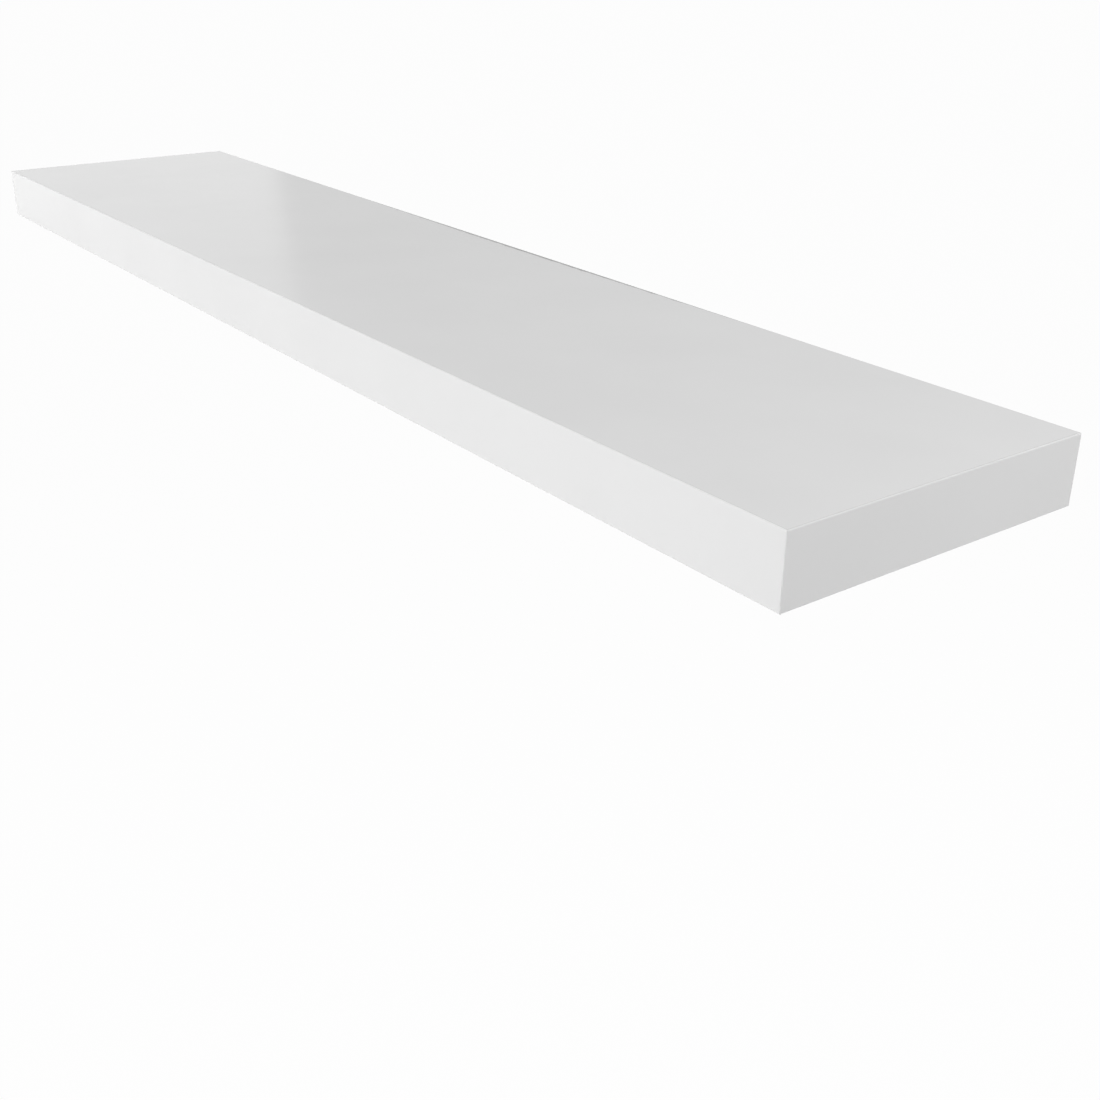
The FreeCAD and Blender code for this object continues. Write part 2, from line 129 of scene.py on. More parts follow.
# %% [markdown]
# Every material here starts and ends alike. It starts with the Principled shader and the Object
# coordinates, which are metres on the piece, so a pattern keeps its real size and runs through the
# piece like grain through wood. It ends with three links: colour, roughness and bump. The relief
# says how many millimetres a step from 0 to 1 in the pattern of the bump stands for.

# %% Start and end of a material


def start_material(name, **constants):
    """A material, its tree and the place of each point of the piece, in metres."""
    material = bpy.data.materials.new(name)
    material.use_nodes = True
    tree = material.node_tree
    for socket, value in constants.items():
        tree.nodes["Principled BSDF"].inputs[socket].default_value = value
    place = add_node(tree, "TexCoord")["Object"]
    return material, tree, place


def end_material(tree, colour, roughness, bumps, relief):
    """Links the finished colour, roughness and pattern of bumps to the shader."""
    shader = tree.nodes["Principled BSDF"]
    bump = add_node(tree, "Bump", {"Strength": 1.0, "Distance": relief * MM, "Height": bumps})
    tree.links.new(colour, shader.inputs["Base Color"])
    tree.links.new(roughness, shader.inputs["Roughness"])
    tree.links.new(bump["Normal"], shader.inputs["Normal"])


print("Each material gets Object coordinates, and a bump in millimetres")

# %% [markdown]
# ## White melamine foil on fibreboard
#
# The two big faces are sheets of high-density fibreboard (HDF), brown and fine as felt, with a
# thin white foil of melamine-soaked paper pressed on. The press plate gives the foil a faint
# pearl: bumps less than a millimetre wide and about a micrometre high, which is what softens a
# reflection into satin. Where the sheet is cut, at the wall and round the insert holes, the brown
# fibres show under a white line as thick as the foil.
#
# It could be two materials on two sets of faces. One material that decides by place needs no work on
# the mesh: whatever lies within the foil's thickness of the board's top or bottom is foil. Along the
# back edge of the top lies a hairline of painted shade, a dark grey that stands in for the shadow at
# that edge. It is widest near the middle and thins out towards both ends, it fades inwards, and fine
# streaks run along it.

# %% Where the sheet is foil, and where shade is painted along its back edge
FOIL = 0.3  # mm; real foil is 0.1 mm, drawn thicker so that its cut edge shows
SHADE_LINE_WIDTH = 4.2  # mm, the widest place of the painted shade line along the back edge
SHADE_LINE_MIDDLE, SHADE_LINE_REACH = 25, 440  # mm along the board: where it is widest, and half its length
SHADE_LINE_WANDER = 15  # mm from one uneven place of it to the next
STRAY = 0.4  # share by which its width strays either way
FADE = 2.8  # mm over which the hairline fades into the white
SHADE_STREAK, SHADE_STREAK_LENGTH = 0.3, 12  # mm from one streak of the painted shade to the next, and along it
NOISE_LOW, NOISE_HIGH = 0.35, 0.65  # most values of a noise lie between these
SHADE_STRENGTH = 0.7, 1.0  # share of the white that the painted shade replaces between the streaks, and in them
BOARD_HALF = cad_box[1].z
SHEET_LOW, SHEET_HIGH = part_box("top_skin")

white_foil, tree, place = start_material("white_melamine_foil_on_hdf", IOR=1.5)
position = add_node(tree, "SeparateXYZ", {"Vector": place})
height = add_node(tree, "Math", {0: position["Z"]}, operation="ABSOLUTE")["Value"]
is_foil = add_node(tree, "Math", {0: height, 1: BOARD_HALF - FOIL * MM},
                   operation="GREATER_THAN")["Value"]

# Painted shade along the back edge of the top: a dark hairline, widest near the middle and streaked
# along its length.
from_middle = add_node(tree, "Math", {0: position["X"], 1: SHADE_LINE_MIDDLE * MM},
                       operation="SUBTRACT")["Value"]
away = add_node(tree, "Math", {0: from_middle}, operation="ABSOLUTE")["Value"]
shade_line_profile = add_node(tree, "MapRange", {
    "Value": away, "From Min": SHADE_LINE_REACH * MM, "From Max": 0.0, "To Max": SHADE_LINE_WIDTH * MM},
    interpolation_type="SMOOTHSTEP")["Result"]
wander_noise = add_node(tree, "TexNoise", {"W": position["X"], "Scale": per_metre(SHADE_LINE_WANDER)},
                noise_dimensions="1D")["Fac"]
uneven = add_node(tree, "MapRange", {
    "Value": wander_noise, "To Min": 1 - STRAY, "To Max": 1 + STRAY})["Result"]
width = add_node(tree, "Math", {0: shade_line_profile, 1: uneven}, operation="MULTIPLY")["Value"]
to_cut = add_node(tree, "Math", {0: SHEET_HIGH.y, 1: position["Y"]}, operation="SUBTRACT")["Value"]
inside = add_node(tree, "Math", {0: width, 1: to_cut}, operation="SUBTRACT")["Value"]
on_top = add_node(tree, "Math", {0: position["Z"], 1: 0.0}, operation="GREATER_THAN")["Value"]
drawn = add_node(tree, "Mapping", {
    "Vector": place, "Scale": per_metre_xyz(SHADE_STREAK_LENGTH, SHADE_STREAK, SHADE_STREAK)})["Vector"]
shade_streaks = add_node(tree, "TexNoise", {"Vector": drawn, "Scale": 1.0, "Detail": 2.0})["Fac"]
streaked_shade = add_node(tree, "MapRange", {
    "Value": shade_streaks, "From Min": NOISE_LOW, "From Max": NOISE_HIGH,
    "To Min": SHADE_STRENGTH[0], "To Max": SHADE_STRENGTH[1]})["Result"]
shade_on_top = add_node(tree, "Math", {0: on_top, 1: streaked_shade}, operation="MULTIPLY")["Value"]
painted_shade = add_node(tree, "MapRange", {
    "Value": inside, "From Max": FADE * MM, "To Max": shade_on_top})["Result"]
print(f"Foil above {BOARD_HALF / MM - FOIL:.2f} mm, shaded up to {SHADE_LINE_WIDTH} mm from the back cut")

# %% [markdown]
# The foil meets the edge band in a hairline of glue, a little greyer than both. It is drawn on the
# foil's side of the joint: wherever the place is within its width of the front or the ends of the
# sheet. The white itself is not one flat value either, but drifts by a shade over a hand's width.
# The fibres of the board lie flat, so their noise is squeezed in height.

# %% Colours of the sheet
GLUE_LINE = 0.25  # mm
FOIL_WHITE_PATCH = 90  # mm over which the white drifts
HDF_FIBRE, HDF_FIBRE_HEIGHT = 1.5, 0.3  # mm, drawn coarse enough to show

at_front = add_node(tree, "Math", {0: position["Y"], 1: SHEET_LOW.y + GLUE_LINE * MM},
                    operation="LESS_THAN")["Value"]
across = add_node(tree, "Math", {0: position["X"]}, operation="ABSOLUTE")["Value"]
at_end = add_node(tree, "Math", {0: across, 1: SHEET_HIGH.x - GLUE_LINE * MM},
                  operation="GREATER_THAN")["Value"]
is_glue = add_node(tree, "Math", {0: at_front, 1: at_end}, operation="MAXIMUM")["Value"]

clouds = add_node(tree, "TexNoise", {"Vector": place, "Scale": per_metre(FOIL_WHITE_PATCH)})["Fac"]
white = add_node(tree, "ValToRGB", {"Fac": clouds}, [(0.3, "#EDEDED"), (0.7, "#F0F0F0")])["Color"]
edged = add_node(tree, "Mix", {"Factor": is_glue, "A": white, "B": linear("#CFCFCD")},
                 data_type="RGBA")["Result"]
# The dark grey mixed in here is painted shade along the back edge of the top.
foil_and_shade_line = add_node(tree, "Mix", {"Factor": painted_shade, "A": edged, "B": linear("#505050")},
                       data_type="RGBA")["Result"]
matted = add_node(tree, "Mapping", {
    "Vector": place, "Scale": per_metre_xyz(HDF_FIBRE, HDF_FIBRE, HDF_FIBRE_HEIGHT)})["Vector"]
fibres = add_node(tree, "TexNoise", {"Vector": matted, "Scale": 1.0, "Detail": 5.0,
                                     "Roughness": 0.7})["Fac"]
hdf_colour = add_node(tree, "ValToRGB", {"Fac": fibres}, [
    (0.25, "#5F452D"), (0.5, "#8A6947"), (0.75, "#A88861")])["Color"]
colour = add_node(tree, "Mix", {"Factor": is_foil, "A": hdf_colour, "B": foil_and_shade_line},
                  data_type="RGBA")["Result"]
print(f"Glue line {GLUE_LINE} mm, fibres {HDF_FIBRE} mm")

# %% [markdown]
# Handling leaves the foil a touch glossier in some places than in others, while the cut fibres are
# matt all over. The relief is a share of the fibres' depth: they stand out fully, the pearl of the
# foil by a hundredth of that, and the glue lies a little lower than the foil.

# %% Gloss and relief of the sheet
FOIL_GLOSS_PATCH = 35  # mm over which the gloss drifts
PEARL = 0.8  # mm from one bump of the foil to the next
HDF_ROUGHNESS = 0.85
HDF_RELIEF = 0.12  # mm
PEARL_SHARE, GLUE_SHARE = 0.012, 0.2  # of that relief: the bumps of the foil, the dip of the glue

handled = add_node(tree, "TexNoise", {"Vector": place, "Scale": per_metre(FOIL_GLOSS_PATCH)})["Fac"]
foil_roughness = add_node(tree, "MapRange", {
    "Value": handled, "To Min": 0.14, "To Max": 0.20})["Result"]
roughness = add_node(tree, "Mix", {
    "Factor": is_foil, "A": HDF_ROUGHNESS, "B": foil_roughness})["Result"]
pearl = add_node(tree, "TexNoise", {"Vector": place, "Scale": per_metre(PEARL), "Detail": 1.0})
faint = add_node(tree, "Math", {0: pearl["Fac"], 1: PEARL_SHARE}, operation="MULTIPLY")["Value"]
sunk = add_node(tree, "Math", {0: is_glue, 1: GLUE_SHARE}, operation="MULTIPLY")["Value"]
foil_bumps = add_node(tree, "Math", {0: faint, 1: sunk}, operation="SUBTRACT")["Value"]
bumps = add_node(tree, "Mix", {"Factor": is_foil, "A": fibres, "B": foil_bumps})["Result"]
end_material(tree, colour, roughness, bumps, HDF_RELIEF)
print(f"Pearl every {PEARL} mm, {1000 * PEARL_SHARE * HDF_RELIEF:.1f} micrometres high")

# %% [markdown]
# ## White edge band
#
# The front and the two ends are covered with a strip of ABS plastic, 1 mm thick, glued on hot and
# then scraped to a small round arris. It is the same white as the foil, and its emboss is drawn
# out along the strip, because a roller presses it in. The scraper leaves faint chatter across the
# strip, a fine ripple that only shows where light glances along the edge.

# %% White edge band
EMBOSS = 0.9  # mm across the strip, three times as long along it
CHATTER = 2.5  # mm from one mark of the scraper to the next, eight times as long across the strip
ABS_WHITE_PATCH, ABS_GLOSS_PATCH = 140, 30  # mm
CHATTER_SHARE = 0.3  # of the relief; the rest is emboss
ABS_RELIEF = 0.004  # mm

white_abs, tree, place = start_material("white_abs_edge_band", IOR=1.49)
batch = add_node(tree, "TexNoise", {"Vector": place, "Scale": per_metre(ABS_WHITE_PATCH)})["Fac"]
colour = add_node(tree, "ValToRGB", {"Fac": batch}, [(0.3, "#EEEEEE"), (0.7, "#F1F1F1")])["Color"]
rolled = add_node(tree, "Mapping", {
    "Vector": place, "Scale": per_metre_xyz(3 * EMBOSS, 3 * EMBOSS, EMBOSS)})["Vector"]
emboss = add_node(tree, "TexNoise", {"Vector": rolled, "Scale": 1.0, "Detail": 1.0})["Fac"]
scraped = add_node(tree, "Mapping", {
    "Vector": place, "Scale": per_metre_xyz(CHATTER, CHATTER, 8 * CHATTER)})["Vector"]
chatter = add_node(tree, "TexNoise", {"Vector": scraped, "Scale": 1.0, "Detail": 0.0})["Fac"]
bumps = add_node(tree, "Mix", {"Factor": CHATTER_SHARE, "A": emboss, "B": chatter})["Result"]
handled = add_node(tree, "TexNoise", {"Vector": place, "Scale": per_metre(ABS_GLOSS_PATCH)})["Fac"]
roughness = add_node(tree, "MapRange", {"Value": handled, "To Min": 0.22, "To Max": 0.28})["Result"]
end_material(tree, colour, roughness, bumps, ABS_RELIEF)
print(f"Edge band emboss {EMBOSS} mm, scraper marks {CHATTER} mm apart")

# %% [markdown]
# ## Particleboard
#
# The frame inside is cut from 40 mm particleboard: wood flakes, 3 to 8 mm long and about a
# millimetre thick, pressed flat with resin. In the middle of the board the flakes are coarse with
# dark gaps between them; towards both faces they are fine. On a sawn edge they show as short
# horizontal dashes from straw to brown.
#
# A Voronoi texture is a good start, because it divides space into cells with a random colour each.
# Squeezed in height, its cells turn into flat flakes. Two sizes of flake are mixed by the height
# above the middle of the board, and the borders between cells become the dark gaps. A slow noise
# is added to the place first, so that the layers of flakes sag and rise a little. It has to be slow
# and small: a strong one turns straight slivers of wood into wavy ribbons.

# %% The flakes of particleboard
FLAKE = 5.0  # mm long
FLAKE_FLATNESS = 0.2  # thickness over length
FINE_FLAKE = 1.2  # mm, near the faces
FINE_LAYER = 4.5  # mm
SAG, SAG_LENGTH = 2.0, 18  # mm, how far a layer of flakes strays, and over what length
CORE_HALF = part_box("front_rail")[1].z

particleboard, tree, place = start_material("particleboard", IOR=1.45)
slow = add_node(tree, "TexNoise", {"Vector": place, "Scale": per_metre(SAG_LENGTH), "Detail": 1.0})
stray = add_node(tree, "VectorMath", {0: slow["Color"], "Scale": SAG * MM}, operation="SCALE")
bent = add_node(tree, "VectorMath", {0: place, 1: stray["Vector"]}, operation="ADD")["Vector"]


def flakes(length):
    """The tint and the distance to the next gap, for flat flakes of one length."""
    squeeze = per_metre_xyz(length, length, length * FLAKE_FLATNESS)
    mapped = add_node(tree, "Mapping", {"Vector": bent, "Scale": squeeze})["Vector"]
    cells = add_node(tree, "TexVoronoi", {"Vector": mapped, "Scale": 1.0})
    border = add_node(tree, "TexVoronoi", {"Vector": mapped, "Scale": 1.0},
                      feature="DISTANCE_TO_EDGE")["Distance"]
    tint = add_node(tree, "SeparateColor", {"Color": cells["Color"]})["Red"]
    return tint, border


coarse_tint, coarse_gap = flakes(FLAKE)
fine_tint, fine_gap = flakes(FINE_FLAKE)
position = add_node(tree, "SeparateXYZ", {"Vector": place})
height = add_node(tree, "Math", {0: position["Z"]}, operation="ABSOLUTE")["Value"]
# The change from coarse to fine is centred on the depth of the fine layer, and is as deep as it.
near_face = add_node(tree, "MapRange", {
    "Value": height, "From Min": CORE_HALF - 1.5 * FINE_LAYER * MM,
    "From Max": CORE_HALF - 0.5 * FINE_LAYER * MM})["Result"]
tint = add_node(tree, "Mix", {"Factor": near_face, "A": coarse_tint, "B": fine_tint})["Result"]
to_gap = add_node(tree, "Mix", {"Factor": near_face, "A": coarse_gap, "B": fine_gap})["Result"]
print(f"Flakes {FLAKE} mm long and {FLAKE * FLAKE_FLATNESS} mm thick, {FINE_FLAKE} mm at the faces")

# %% [markdown]
# The tint of a flake goes through a colour ramp from dark bark to pale straw, and fine grain runs
# along it. The gaps are not all open: a slow noise decides how dark each stretch of gap is.

# %% Colours of particleboard
GAP = 0.09  # share of a flake that is a gap
GAP_PATCH = 6  # mm over which the gaps open and close
GAP_DEPTH = 1.5  # times as deep as the grain
GRAIN, GRAIN_SHARE = 0.5, 0.3  # mm high, six times as long, and how much of it shows
BOARD_RELIEF = 0.15  # mm

flake_colour = add_node(tree, "ValToRGB", {"Fac": tint}, [
    (0.0, "#8F6C44"), (0.2, "#B89364"), (0.5, "#CFAE80"), (0.8, "#DEC398"), (1.0, "#E9D5B0")])
in_gap = add_node(tree, "MapRange", {"Value": to_gap, "From Min": GAP, "From Max": 0.0})["Result"]
openness = add_node(tree, "TexNoise", {"Vector": place, "Scale": per_metre(GAP_PATCH)})["Fac"]
dark = add_node(tree, "Math", {0: in_gap, 1: openness}, operation="MULTIPLY")["Value"]
gapped = add_node(tree, "Mix", {
    "Factor": dark, "A": flake_colour["Color"], "B": linear("#614630")},
    data_type="RGBA")["Result"]
lengthwise = add_node(tree, "Mapping", {
    "Vector": place, "Scale": per_metre_xyz(6 * GRAIN, 6 * GRAIN, GRAIN)})["Vector"]
grain = add_node(tree, "TexNoise", {"Vector": lengthwise, "Scale": 1.0, "Detail": 4.0})["Fac"]
grain_colour = add_node(tree, "ValToRGB", {"Fac": grain}, [(0.2, "#8F6C45"), (0.8, "#E0C69C")])
colour = add_node(tree, "Mix", {
    "Factor": GRAIN_SHARE, "A": gapped, "B": grain_colour["Color"]},
    data_type="RGBA", blend_type="SOFT_LIGHT")["Result"]
bumps = add_node(tree, "Math", {0: dark, 1: -GAP_DEPTH, 2: grain},
                 operation="MULTIPLY_ADD")["Value"]
roughness = add_node(tree, "MapRange", {"Value": grain, "To Min": 0.75, "To Max": 0.95})["Result"]
end_material(tree, colour, roughness, bumps, BOARD_RELIEF)
print(f"Gaps take {GAP:.0%} of a flake, grain {GRAIN} mm")

# %% [markdown]
# ## Kraft paper honeycomb
#
# The bays between the ribs are filled with expanded kraft paper, the cheap and very light core
# that keeps the thin skins flat. Recycled kraft is mid-brown with long fibres in all directions
# and the odd dark speck. The fibres are drawn by noise stretched two ways and laid over each other.

# %% Kraft paper honeycomb
KRAFT_FIBRE = 0.25  # mm wide, and ten times as long
LUMP, SPECK = 1.2, 0.72  # mm from one lump of pulp to the next, and the noise from which it is dark
KRAFT_RELIEF = 0.04  # mm

kraft, tree, place = start_material("kraft_paper_honeycomb", IOR=1.45)
wide, long = per_metre(KRAFT_FIBRE), per_metre(10 * KRAFT_FIBRE)
along_z = add_node(tree, "Mapping", {"Vector": place, "Scale": (wide, wide, long)})["Vector"]
along_xy = add_node(tree, "Mapping", {"Vector": place, "Scale": (long, long, wide)})["Vector"]
upright = add_node(tree, "TexNoise", {"Vector": along_z, "Scale": 1.0, "Detail": 3.0})["Fac"]
level = add_node(tree, "TexNoise", {"Vector": along_xy, "Scale": 1.0, "Detail": 3.0})["Fac"]
fibres = add_node(tree, "Mix", {"Factor": 0.5, "A": upright, "B": level})["Result"]
paper = add_node(tree, "ValToRGB", {"Fac": fibres}, [
    (0.35, "#8D6A42"), (0.5, "#AC8658"), (0.65, "#C3A074")])["Color"]
pulp = add_node(tree, "TexNoise", {
    "Vector": place, "Scale": per_metre(LUMP), "Detail": 1.0})["Fac"]
is_speck = add_node(tree, "Math", {0: pulp, 1: SPECK}, operation="GREATER_THAN")["Value"]
colour = add_node(tree, "Mix", {"Factor": is_speck, "A": paper, "B": linear("#5B3F26")},
                  data_type="RGBA")["Result"]
roughness = add_node(tree, "MapRange", {"Value": fibres, "To Min": 0.8, "To Max": 0.95})["Result"]
end_material(tree, colour, roughness, fibres, KRAFT_RELIEF)
print(f"Kraft fibres {KRAFT_FIBRE} mm wide")

# %% [markdown]
# ## The heat of the welds
#
# The bracket is welded from a rolled strip and drawn bars and then zinc plated, which covers the
# steel with a bright, slightly blue skin a few micrometres thick. What was there before still shows
# through: near a weld the heat has dulled the surface, and the zinc comes out greyer there.
#
# The dull zone could be painted by hand, but it follows from the place. It goes by the distance
# from the nearest rod's axis: the rods are evenly spaced, so a ping-pong turns the place along the
# strip into that distance. Along a rod it goes by the distance from the plate, counted on from the
# rod's radius, so that the zone has no step at the root. Noise makes its border uneven.

# %% The heat of the welds
ROD_RADIUS = 6.0  # mm
HEAT_START, HEAT_END = 14.0, 40.0  # mm from a rod's axis, with the depth of a lobe on top
HEAT_PATCH, HEAT_WANDER = 9.0, 30.0  # mm from one lobe of the border to the next, and their depth
ROD_XS = sorted(sum(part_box(name)[i].x for i in (0, 1)) / 2
                for name in nodes if name.startswith("support_rod_"))
ROD_PITCH = ROD_XS[1] - ROD_XS[0]
PLATE_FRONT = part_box("wall_plate")[0].y


def weld_heat(tree, place):
    """1 at a weld, 0 where the steel stayed cool, with an uneven border."""
    position = add_node(tree, "SeparateXYZ", {"Vector": place})
    from_first = add_node(tree, "Math", {0: position["X"], 1: ROD_XS[0]}, operation="SUBTRACT")
    beside = add_node(tree, "Math", {0: from_first["Value"], 1: ROD_PITCH / 2},
                      operation="PINGPONG")["Value"]
    from_axis = add_node(tree, "CombineXYZ", {"X": beside, "Z": position["Z"]})["Vector"]
    radius = add_node(tree, "VectorMath", {0: from_axis}, operation="LENGTH")["Value"]
    off_plate = add_node(tree, "Math", {0: PLATE_FRONT + ROD_RADIUS * MM, 1: position["Y"]},
                         operation="SUBTRACT")["Value"]
    from_weld = add_node(tree, "Math", {0: radius, 1: off_plate}, operation="MAXIMUM")["Value"]
    lobes = add_node(tree, "TexNoise", {"Vector": place, "Scale": per_metre(HEAT_PATCH)})["Fac"]
    uneven = add_node(tree, "Math", {0: lobes, 1: HEAT_WANDER * MM, 2: from_weld},
                      operation="MULTIPLY_ADD")["Value"]
    return add_node(tree, "MapRange", {
        "Value": uneven, "From Min": HEAT_END * MM, "From Max": HEAT_START * MM},
        interpolation_type="SMOOTHSTEP")["Result"]


print(f"Rods at {[round(x / MM) for x in ROD_XS]} mm, dulled up to {HEAT_END:.0f} mm from their axes")

# %% [markdown]
# ## Zinc-plated steel
#
# The way the steel was worked shows through the zinc too: lines along the strip from the rolling
# mill, and lines along each rod from the drawing die. They are noise stretched over a hundredfold
# along the metal, with finer lines between the broad ones. One recipe serves both pieces, with the
# stretch along the strip's length for the plate and along the rod's for the rods.

# %% Zinc-plated steel
LINE = 1.2  # mm between two broad lines; real ones are finer, drawn coarse enough to show
LINE_LENGTH = 150  # mm
CLOUD = 25  # mm, a cloud in the zinc, three times as long along the metal
HEAT_GREY, HEAT_DULL = 0.2, 0.05  # how much of the grey, and how much roughness, heat adds
ZINC_RELIEF = 0.012  # mm


def zinc_plated(name, line_spacings, cloud_sizes, glossy, dull):
    """Zinc over worked steel, with lines and clouds of these sizes in mm along X, Y and Z.

    Its roughness runs from glossy to dull.
    """
    material, tree, place = start_material(name, Metallic=1.0)
    drawn = add_node(tree, "Mapping", {
        "Vector": place, "Scale": per_metre_xyz(*line_spacings)})["Vector"]
    lines = add_node(tree, "TexNoise", {"Vector": drawn, "Scale": 1.0, "Detail": 4.0,
                                        "Roughness": 0.7})["Fac"]
    bath = add_node(tree, "Mapping", {
        "Vector": place, "Scale": per_metre_xyz(*cloud_sizes)})["Vector"]
    clouds = add_node(tree, "TexNoise", {"Vector": bath, "Scale": 1.0, "Detail": 3.0})["Fac"]
    worked = add_node(tree, "Mix", {"Factor": 0.5, "A": lines, "B": clouds})["Result"]
    zinc = add_node(tree, "ValToRGB", {"Fac": worked}, [
        (0.35, "#888E94"), (0.5, "#9BA0A4"), (0.65, "#ADAFAE")])["Color"]
    heat = weld_heat(tree, place)
    greyed = add_node(tree, "Math", {0: heat, 1: HEAT_GREY}, operation="MULTIPLY")["Value"]
    colour = add_node(tree, "Mix", {"Factor": greyed, "A": zinc, "B": linear("#7F7D78")},
                      data_type="RGBA")["Result"]
    even = add_node(tree, "MapRange", {"Value": worked, "To Min": glossy, "To Max": dull})["Result"]
    roughness = add_node(tree, "Math", {0: heat, 1: HEAT_DULL, 2: even},
                         operation="MULTIPLY_ADD")["Value"]
    end_material(tree, colour, roughness, lines, ZINC_RELIEF)
    return material


zinc_strip = zinc_plated("zinc_plated_rolled_strip", (LINE_LENGTH, LINE, LINE),
                         (3 * CLOUD, CLOUD, CLOUD), glossy=0.26, dull=0.46)
zinc_rod = zinc_plated("zinc_plated_drawn_rod", (LINE, LINE_LENGTH, LINE),
                       (CLOUD, 3 * CLOUD, CLOUD), glossy=0.20, dull=0.40)
print(f"Lines {LINE} mm apart, clouds of {CLOUD} mm")

# %% [markdown]
# ## Weld bead
#
# The weld beads are plated with the rest, but the metal under the zinc is rough, so they are
# greyer and duller. One noise with much fine detail drives colour, roughness and bump together,
# so that each grain that stands out is also paler and duller.

# %% Weld bead
SPATTER = 0.6  # mm from one grain to the next

weld_metal, tree, place = start_material("zinc_plated_weld_bead", Metallic=1.0)
spatter = add_node(tree, "TexNoise", {
    "Vector": place, "Scale": per_metre(SPATTER), "Detail": 4.0})["Fac"]
colour = add_node(tree, "ValToRGB", {"Fac": spatter}, [(0.3, "#77777A"), (0.7, "#A9AAAA")])["Color"]
roughness = add_node(tree, "MapRange", {"Value": spatter, "To Min": 0.40, "To Max": 0.60})["Result"]
end_material(tree, colour, roughness, spatter, relief=0.03)
print(f"Spatter every {SPATTER} mm")

# %% [markdown]
# ## Blackened steel
#
# The locking screws are blackened: an oxide layer under oil, nearly black, with a soft sheen and
# brighter metal where it has rubbed. A metal with a very dark base colour gives that sheen, and a
# colour ramp whose top end is lighter gives the rubbed patches.

# %% Blackened steel
OIL_PATCH, ETCH = 2.0, 0.2  # mm from one patch to the next, and from one etched grain to the next

black_steel, tree, place = start_material("black_oxide_steel", Metallic=1.0)
oil = add_node(tree, "TexNoise", {"Vector": place, "Scale": per_metre(OIL_PATCH)})["Fac"]
colour = add_node(tree, "ValToRGB", {"Fac": oil}, [
    (0.3, "#1D1D1F"), (0.6, "#2A2A2C"), (0.85, "#4A4A4D")])["Color"]
roughness = add_node(tree, "MapRange", {"Value": oil, "To Min": 0.32, "To Max": 0.52})["Result"]
etched = add_node(tree, "TexNoise", {"Vector": place, "Scale": per_metre(ETCH)})["Fac"]
end_material(tree, colour, roughness, etched, relief=0.004)
print(f"Oil in patches of {OIL_PATCH} mm, grain {ETCH} mm")

# %% [markdown]
# ## Turned brass
#
# The inserts are turned brass, bare, with the fine rings that a lathe tool leaves round their axis.
# A ring pattern needs the distance from that axis. There are two inserts, left and right alike, so
# the absolute place folds one onto the other, and a Mapping node moves their common axis to zero
# and flattens the height away. The sine of that distance then rises and falls once for each ring.

# %% Turned brass
TOOL_MARK = 0.2  # mm between two rings
TARNISH_PATCH = 3.0  # mm
INSERT_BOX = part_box("lock_inserts")
INSERT_HALF = (INSERT_BOX[1].y - INSERT_BOX[0].y) / 2
INSERT_X = INSERT_BOX[1].x - INSERT_HALF
INSERT_Y = INSERT_BOX[1].y - INSERT_HALF

brass, tree, place = start_material("turned_brass", Metallic=1.0)
folded = add_node(tree, "VectorMath", {0: place}, operation="ABSOLUTE")["Vector"]
from_axis = add_node(tree, "Mapping", {
    "Vector": folded, "Location": (-INSERT_X, -abs(INSERT_Y), 0), "Scale": (1, 1, 0)})["Vector"]
radius = add_node(tree, "VectorMath", {0: from_axis}, operation="LENGTH")["Value"]
turned = add_node(tree, "Math", {0: radius, 1: math.tau * per_metre(TOOL_MARK)},
                  operation="MULTIPLY")["Value"]
rings = add_node(tree, "Math", {0: turned}, operation="SINE")["Value"]
tarnish = add_node(tree, "TexNoise", {"Vector": place, "Scale": per_metre(TARNISH_PATCH)})["Fac"]
colour = add_node(tree, "ValToRGB", {"Fac": tarnish}, [(0.3, "#A2854B"), (0.7, "#BFA468")])["Color"]
roughness = add_node(tree, "MapRange", {"Value": tarnish, "To Min": 0.24, "To Max": 0.40})["Result"]
end_material(tree, colour, roughness, rings, relief=0.003)
print(f"Inserts {INSERT_X / MM:.1f} mm from the middle, rings every {TOOL_MARK} mm")

# %% [markdown]
# ## Small modelling helpers
#
# Operators work on whatever is selected, and loading the model leaves all of it selected. So each
# step first selects the one object that it means. The small parts are made as a machinist makes
# them: from plain solids that are joined to each other or cut away from each other by booleans.

# %% Selecting and combining


def select_only(piece):
    """Makes one object the only selected and active one."""
    bpy.ops.object.select_all(action="DESELECT")
    piece.select_set(True)
    bpy.context.view_layer.objects.active = piece


def added():
    """The primitive that was just added, with its turn and place put into its mesh."""
    piece = bpy.context.object
    select_only(piece)
    bpy.ops.object.transform_apply(location=True, rotation=True, scale=True)
    return piece


def apply_modifier(piece, kind, **settings):
    """Adds a modifier, sets it and applies it."""
    select_only(piece)
    modifier = piece.modifiers.new(kind.title(), kind)
    for name, setting in settings.items():
        setattr(modifier, name, setting)
    bpy.ops.object.modifier_apply(modifier=modifier.name)


def combine(piece, tool, operation):
    """Cuts, joins or keeps what two closed solids share, and throws the tool away."""
    apply_modifier(piece, "BOOLEAN", object=tool, operation=operation, solver="EXACT")
    bpy.data.objects.remove(tool)


print("A boolean takes two closed solids and leaves one")

# %% [markdown]
# Small parts are modelled at a thousand times their size, one Blender unit to the millimetre,
# because many tools take points a ten-thousandth of a unit apart for one, and in metres that is a
# sixth of the depth of a thread. They are shrunk to metres when they are put in their place. A
# boolean also leaves pairs of points less than a micrometre apart, with slits between them that no
# eye sees but that leave the solid open. Merging them closes it.
#
# A finished piece is handed over with its material and the body that it moves with, and the plain CAD
# pieces that it takes the place of are hidden.

# %% Closing, placing and handing over
SLIT = 1e-3  # mm, the widest slit that is merged
SMOOTH_BELOW = math.radians(35)  # between two faces; a sharper edge stays sharp


